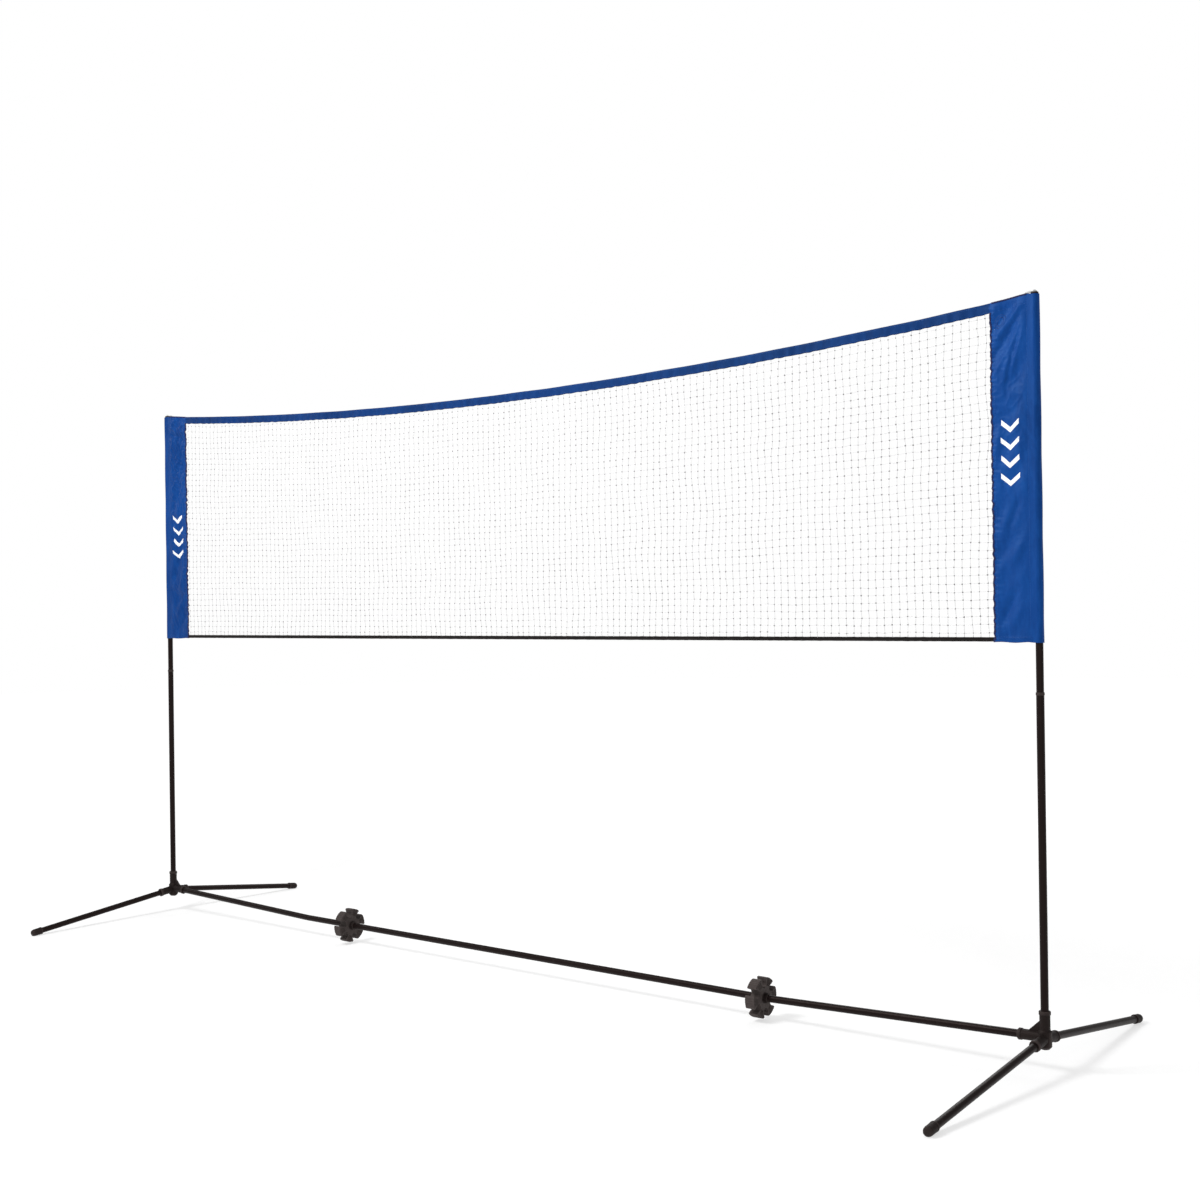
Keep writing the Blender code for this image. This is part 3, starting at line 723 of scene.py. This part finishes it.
BAND_WAVE = waves(71, 8, 0.018, 0.050, 0.0, 0.05)
BAND_DRIFT = waves(72, 5, 0.15, 0.60, 0.0, 0.05)


def tucked(x, y, z, depth):
    """Points of a band, thinned at its ends to lie between the two layers of the sleeves."""
    x, y, z, depth = np.broadcast_arrays(*(np.asarray(a, float) for a in (x, y, z, depth)))
    near = eased((np.abs(x) - BAND_X + TAPER) / TAPER)
    seam = np.where(x < 0, *(SLEEVES[side].relief(POLE_X - np.abs(x), z) for side in ("left", "right")))
    depth = (1 - near) * depth + near * np.clip(depth, -CLOTH, CLOTH)
    return np.stack([x, (1 - near) * y + near * seam + depth, z], axis=-1)


def band_surface(x, down, layer, lift=0.0):
    """A point of the top band, a distance down from its upper edge on the front or back."""
    share = np.asarray(down) / BAND_DEPTH
    y = 0.0012 * BAND_DRIFT(x, 0) + 0.0005 * share * BAND_WAVE(x, down * 0.5)
    half = 0.0022 - 0.0009 * share ** 0.5
    z = top_line(x) - down - 0.0004 * share * BAND_WAVE(x, 0.7)
    return tucked(x, y, z, layer * (half + lift))


def build_top_band():
    """A strip folded along its upper edge, with two rows of stitching through both layers."""
    count = 580
    x = np.linspace(-BAND_X - TUCK, BAND_X + TUCK, count)[:, None]
    falls = (BAND_DEPTH, 0.0185, 0.0150, 0.0110, 0.0070, 0.0040, BAND_FOLD)
    fold = []
    for angle in np.radians((-50, -25, 0, 25, 50)):
        thinned = np.clip((BAND_X - np.abs(x)) / TAPER, 0.15, 1)
        line = band_surface(x, BAND_FOLD, 0)
        line[..., 1] += 0.0020 * math.sin(angle) * thinned
        line[..., 2] += 0.0022 * math.cos(angle) - 0.0001
        fold.append(line)
    front, back = ([band_surface(x, down, layer) for down in falls] for layer in (-1, 1))
    strip = np.concatenate(front + fold + back[::-1], axis=1)
    band = piece("top_band_cloth", strip, grid_faces(count, strip.shape[1], flip=True), "band", "net",
                 "band_polyester")
    thicken(band, CLOTH)
    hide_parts("top_band")
    seams = []
    line = np.arange(-BAND_X + 0.004, BAND_X - 0.004, BAND_STITCH_PITCH)
    for layer in LAYERS.values():
        for down in BAND_SEAMS:
            points = band_surface(line, np.full_like(line, down), layer, 0.0003)
            out = np.tile([0.0, layer, 0.0], (len(line) - 1, 1))
            seams.append(stitches((points[1:] + points[:-1]) / 2, unit(points[1:] - points[:-1]), out))
    seam = piece("top_band_stitching", *joined(seams), "thread", "net", "band_polyester")


def build_bottom_band():
    """A woven tape with a rolled edge above and below a flat middle."""
    low, high = BOTTOM_LOW.z, BOTTOM_HIGH.z
    tall = high - low
    sag = waves(91, 5, 0.2, 0.7, 0.0, 0.05)
    ripple = waves(92, 8, 0.02, 0.06, 0.0, 0.05)
    count = 470
    x = np.linspace(-BAND_X - TUCK, BAND_X + TUCK, count)[:, None]
    section = []
    for step in range(11):
        share = step / 10
        half = 0.0006 + 0.0012 * abs(math.cos(math.pi * share)) ** 0.8
        if step in (0, 10):
            half *= 0.45
        section.append((half, share))
    outline = [(-h, s) for h, s in section] + [(h, s) for h, s in section[::-1]]
    columns = []
    for half, share in outline:
        y = 0.0006 * sag(x, 0) + 0.0003 * ripple(x, share)
        z = low + share * tall + 0.0002 * ripple(x, 3 + share) * (1 if 0 < share < 1 else 0.5)
        columns.append(tucked(x, y, z, half))
    faces = closed_tube_faces(count, len(outline))
    tape = piece("bottom_tape", np.concatenate(columns, axis=1), faces, "webbing", "net", "band_black")
    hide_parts("bottom_band")


# ---------------------------------------------------------------- net

def net_columns():
    pitch = 2 * BAND_X / COLUMNS
    return -BAND_X + pitch * (np.arange(COLUMNS) + 0.5)


def net_knot_places(random):
    """Where the cords cross: a grid that wanders a little and bulges between its edges."""
    share = (np.arange(ROWS) + 0.55) / (ROWS + 0.1)
    floor = BOTTOM_HIGH.z
    grid_x = np.tile(net_columns(), (ROWS, 1)) + random.normal(0, 0.00055, (ROWS, COLUMNS))
    drift = waves(55, 6, 0.10, 0.40)
    grid_x += 0.0011 * drift(grid_x, share[:, None])
    ceiling = top_line(grid_x) - BAND_DEPTH
    grid_z = floor + (ceiling - floor) * (1 - share[:, None]) + random.normal(0, 0.00050, grid_x.shape)
    grid_z += 0.0010 * drift(grid_x + 5, grid_z)
    billow = waves(56, 5, 0.35, 1.2)
    hold = np.sin(math.pi * share)[:, None]
    grid_y = 0.0022 * billow(grid_x, grid_z) * hold + random.normal(0, 0.0005, grid_x.shape)
    return np.stack([grid_x, grid_y, grid_z], axis=-1)


def twine(line):
    """A four-sided cord through a line of points."""
    along = unit(np.gradient(line, axis=0))
    side = unit(np.cross(along, [0.0, 1.0, 0.0]))
    out = np.cross(side, along)
    rings = [line + CORD_R * (math.cos(a) * side + math.sin(a) * out)
             for a in (math.pi / 4 + math.pi / 2 * k for k in range(4))]
    return np.stack(rings, axis=1), closed_tube_faces(len(line), 4)


def net_cords(places):
    """Upright cords from the top band to the bottom band, and level ones from sleeve to sleeve."""
    parts = []
    for line in places.transpose(1, 0, 2):
        falls = np.array([BAND_DEPTH - 0.004, BAND_DEPTH + 0.0006])
        head = band_surface(np.full(2, line[0, 0]), falls, 0)
        foot = np.array([[line[-1, 0], 0.0, BOTTOM_HIGH.z - 0.0015]])
        parts.append(twine(np.concatenate([head, line, foot])))
    for line in places:
        start, end = (tucked([sign * (BAND_X + TUCK / 2)], 0.0, line[at, 2], 0.0)
                      for sign, at in ((-1, 0), (1, -1)))
        parts.append(twine(np.concatenate([start, line, end])))
    return joined(parts)


def net_knots(places, random):
    """A small twenty-sided lump on each crossing, turned and sized at random."""
    golden = (1 + math.sqrt(5)) / 2
    ico = unit(np.array([(-1, golden, 0), (1, golden, 0), (-1, -golden, 0), (1, -golden, 0),
                         (0, -1, golden), (0, 1, golden), (0, -1, -golden), (0, 1, -golden),
                         (golden, 0, -1), (golden, 0, 1), (-golden, 0, -1), (-golden, 0, 1)], float))
    faces = np.array([(0, 11, 5), (0, 5, 1), (0, 1, 7), (0, 7, 10), (0, 10, 11), (1, 5, 9), (5, 11, 4),
                      (11, 10, 2), (10, 7, 6), (7, 1, 8), (3, 9, 4), (3, 4, 2), (3, 2, 6), (3, 6, 8),
                      (3, 8, 9), (4, 9, 5), (2, 4, 11), (6, 2, 10), (8, 6, 7), (9, 8, 1)])
    centres = places.reshape(-1, 3)
    turns = random.uniform(0, math.pi, len(centres))
    sizes = np.array(KNOT_SIZE) * random.uniform(0.8, 1.2, (len(centres), 1))
    c, s = np.cos(turns), np.sin(turns)
    rotated = np.stack([ico[None, :, 0] * c[:, None] - ico[None, :, 2] * s[:, None],
                        np.broadcast_to(ico[None, :, 1], (len(centres), 12)),
                        ico[None, :, 0] * s[:, None] + ico[None, :, 2] * c[:, None]], axis=-1)
    points = centres[:, None, :] + rotated * sizes[:, None, :]
    return points, (faces[None] + 12 * np.arange(len(centres))[:, None, None]).reshape(-1, 3)


def build_net():
    random = np.random.default_rng(404)
    places = net_knot_places(random)
    cords = piece("net_mesh", *net_cords(places), "twine", "net", "net_cord")
    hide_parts("net_panel")
    # The knots get the darker grey look, which is painted shade on white twine.
    knots = piece("net_knots", *net_knots(places, random), "knot", "net", "net_cord")


# ---------------------------------------------------------------- corner loops

def loop_line(sign):
    """The loop's middle line: half a turn round the nib, in to the far bend, and back."""
    around = (LOOP_HIGH.y - LOOP_LOW.y) / 2 - LOOP_CORD_R
    high, low = LOOP_HIGH.z - LOOP_CORD_R, LOOP_LOW.z + LOOP_CORD_R
    far = POLE_X - LOOP_LOW.x - LOOP_CORD_R - around
    turn = np.linspace(math.pi / 2, 3 * math.pi / 2, 26)
    plan = [(around * math.cos(a), around * math.sin(a)) for a in turn]
    plan += [(u, -around) for u in np.linspace(0.001, far, 22)]
    plan += [(far - around * math.cos(a), -around * math.sin(a)) for a in turn]
    plan += [(u, around) for u in np.linspace(far, 0.001, 22)]
    plan = np.array(plan)
    fall = eased((plan[:, 0] - LOOP_LEVEL) / (far - LOOP_LEVEL))
    line = np.stack([sign * (POLE_X - plan[:, 0]), plan[:, 1], high + (low - high) * fall], axis=-1)
    steps = np.linalg.norm(np.diff(line, axis=0), axis=1)
    return line[np.concatenate([[True], steps > 0.0003])]


def build_loops():
    """Braided elastic round each pole's nib, down to the sleeve's top edge."""
    for side, sign in SIDES.items():
        line = loop_line(sign)
        along = unit(np.roll(line, -1, axis=0) - np.roll(line, 1, axis=0))
        across = unit(np.cross(along, [0.0, 0.0, 1.0]))
        up = np.cross(across, along)
        length = np.concatenate([[0], np.cumsum(np.linalg.norm(np.diff(line, axis=0), axis=1))])
        rings = []
        for a in 2 * math.pi * np.arange(12) / 12:
            braid = np.maximum(np.sin(3 * a + length / 0.00055), np.sin(3 * a - length / 0.00055))
            radius = (LOOP_CORD_R * (0.90 + 0.10 * braid))[:, None]
            rings.append(line + radius * (math.cos(a) * across + math.sin(a) * up))
        faces = grid_faces(len(line), 12, close_rows=True, close_columns=True, flip=side == "right")
        points = np.stack(rings, axis=1)
        loop = piece(f"elastic_loop_{side}", points, faces, "elastic", "net", "loop_cord")
        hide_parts(f"corner_loop_{side}")


# ---------------------------------------------------------------- ribs moulded on the clips

def ridge(line, across, out, half, tall):
    """A rounded ridge along a line, with its ends drawn in."""
    profile = [(-1, -0.5), (-0.9, 0.35), (-0.5, 0.85), (0, 1), (0.5, 0.85), (0.9, 0.35), (1, -0.5)]
    rings = []
    for k in range(len(line)):
        close = 0.35 if k in (0, len(line) - 1) else 1
        rings.append([line[k] + across[k] * half * a * close + out * tall * b * (close if b > 0 else 1)
                      for a, b in profile])
    return np.array(rings), closed_tube_faces(len(line), len(profile))


def lobe_ribs(x, centre_z, out, middle):
    """Five ribs like rays and one along the rim, on one face of one lobe."""
    def spoke(angle):
        return np.array([0.0, math.cos(angle), math.sin(angle)])

    centre = np.array([x, 0.0, centre_z])
    parts = []
    for spread in RIB_SPREADS:
        angle = middle + math.radians(spread)
        line = np.array([centre + radius * spoke(angle) for radius in RIB_RADII])
        across = np.tile(spoke(angle + math.pi / 2), (len(line), 1))
        parts.append(ridge(line, across, out, 0.00055, 0.00055))
    across = np.array([spoke(middle + math.radians(spread)) for spread in np.linspace(-17, 17, 12)])
    parts.append(ridge(centre + RIM_RADIUS * across, across, out, 0.0008, 0.00065))
    return parts


def build_clip_ribs():
    for side in SIDES:
        low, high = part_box(f"clip_{side}")
        bush_low, bush_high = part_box(f"clip_bush_{side}")
        parts = []
        for face, x in ((-1, low.x), (1, high.x)):
            for lobe in range(LOBES):
                middle = CLIP_TURNS[side] + 2 * math.pi * lobe / LOBES
                parts += lobe_ribs(x, (bush_low.z + bush_high.z) / 2, np.array([face, 0.0, 0.0]), middle)
        piece(f"clip_ribs_{side}", *joined(parts), "clip", f"{side}_clip", "clip_plastic")


# ---------------------------------------------------------------- floor, lights and camera

def build_floor():
    turns = [2 * math.pi * k / FLOOR_SIDES for k in range(FLOOR_SIDES)]
    ring = [(FLOOR_RADIUS * math.cos(a), FLOOR_RADIUS * math.sin(a), -FLOOR_DROP) for a in turns]
    mesh = bpy.data.meshes.new("floor")
    mesh.from_pydata(ring, [], [tuple(range(FLOOR_SIDES))])
    mesh.materials.append(LOOKS["floor"])
    floor = bpy.data.objects.new("floor", mesh)
    bpy.context.scene.collection.objects.link(floor)


def build_sky():
    """White all round, dimmer as a lamp than as a backdrop."""
    world = bpy.data.worlds.new("studio")
    bpy.context.scene.world = world
    world.use_nodes = True
    sky = world.node_tree.nodes["Background"]
    sky.inputs["Color"].default_value = (1.0, 1.0, 1.0, 1)
    seen = world.node_tree.nodes.new("ShaderNodeLightPath")
    level = world.node_tree.nodes.new("ShaderNodeMapRange")
    level.inputs["To Min"].default_value, level.inputs["To Max"].default_value = SKY
    world.node_tree.links.new(seen.outputs["Is Camera Ray"], level.inputs["Value"])
    world.node_tree.links.new(level.outputs["Result"], sky.inputs["Strength"])


def build_lamps():
    for name, (place, target, size, power) in LAMPS.items():
        light = bpy.data.objects.new(name, bpy.data.lights.new(name, "AREA"))
        light.data.size, light.data.energy = size, power
        light.location = place
        light.rotation_euler = (Vector(target) - Vector(place)).to_track_quat("-Z", "Y").to_euler()
        bpy.context.scene.collection.objects.link(light)


def build_camera():
    forward = Vector((-math.sin(CAMERA_YAW) * math.cos(CAMERA_PITCH),
                      math.cos(CAMERA_YAW) * math.cos(CAMERA_PITCH), math.sin(CAMERA_PITCH)))
    level = Vector((math.cos(CAMERA_YAW), math.sin(CAMERA_YAW), 0))
    above = level.cross(forward)
    right = math.cos(CAMERA_ROLL) * level + math.sin(CAMERA_ROLL) * above
    up = -math.sin(CAMERA_ROLL) * level + math.cos(CAMERA_ROLL) * above
    camera = bpy.data.objects.new("camera", bpy.data.cameras.new("camera"))
    camera.data.sensor_width = 36
    camera.data.lens = CAMERA_LENS
    axes = Matrix((right, up, -forward)).transposed().to_4x4()
    camera.matrix_world = Matrix.Translation(CAMERA_PLACE) @ axes
    bpy.context.scene.collection.objects.link(camera)
    bpy.context.scene.camera = camera


build_camera()
build_floor()
build_sky()
build_lamps()
bpy.context.scene.view_settings.view_transform = "Standard"
build_sleeves()
build_top_band()
build_bottom_band()
build_net()
build_loops()
build_clip_ribs()

bpy.context.view_layer.update()
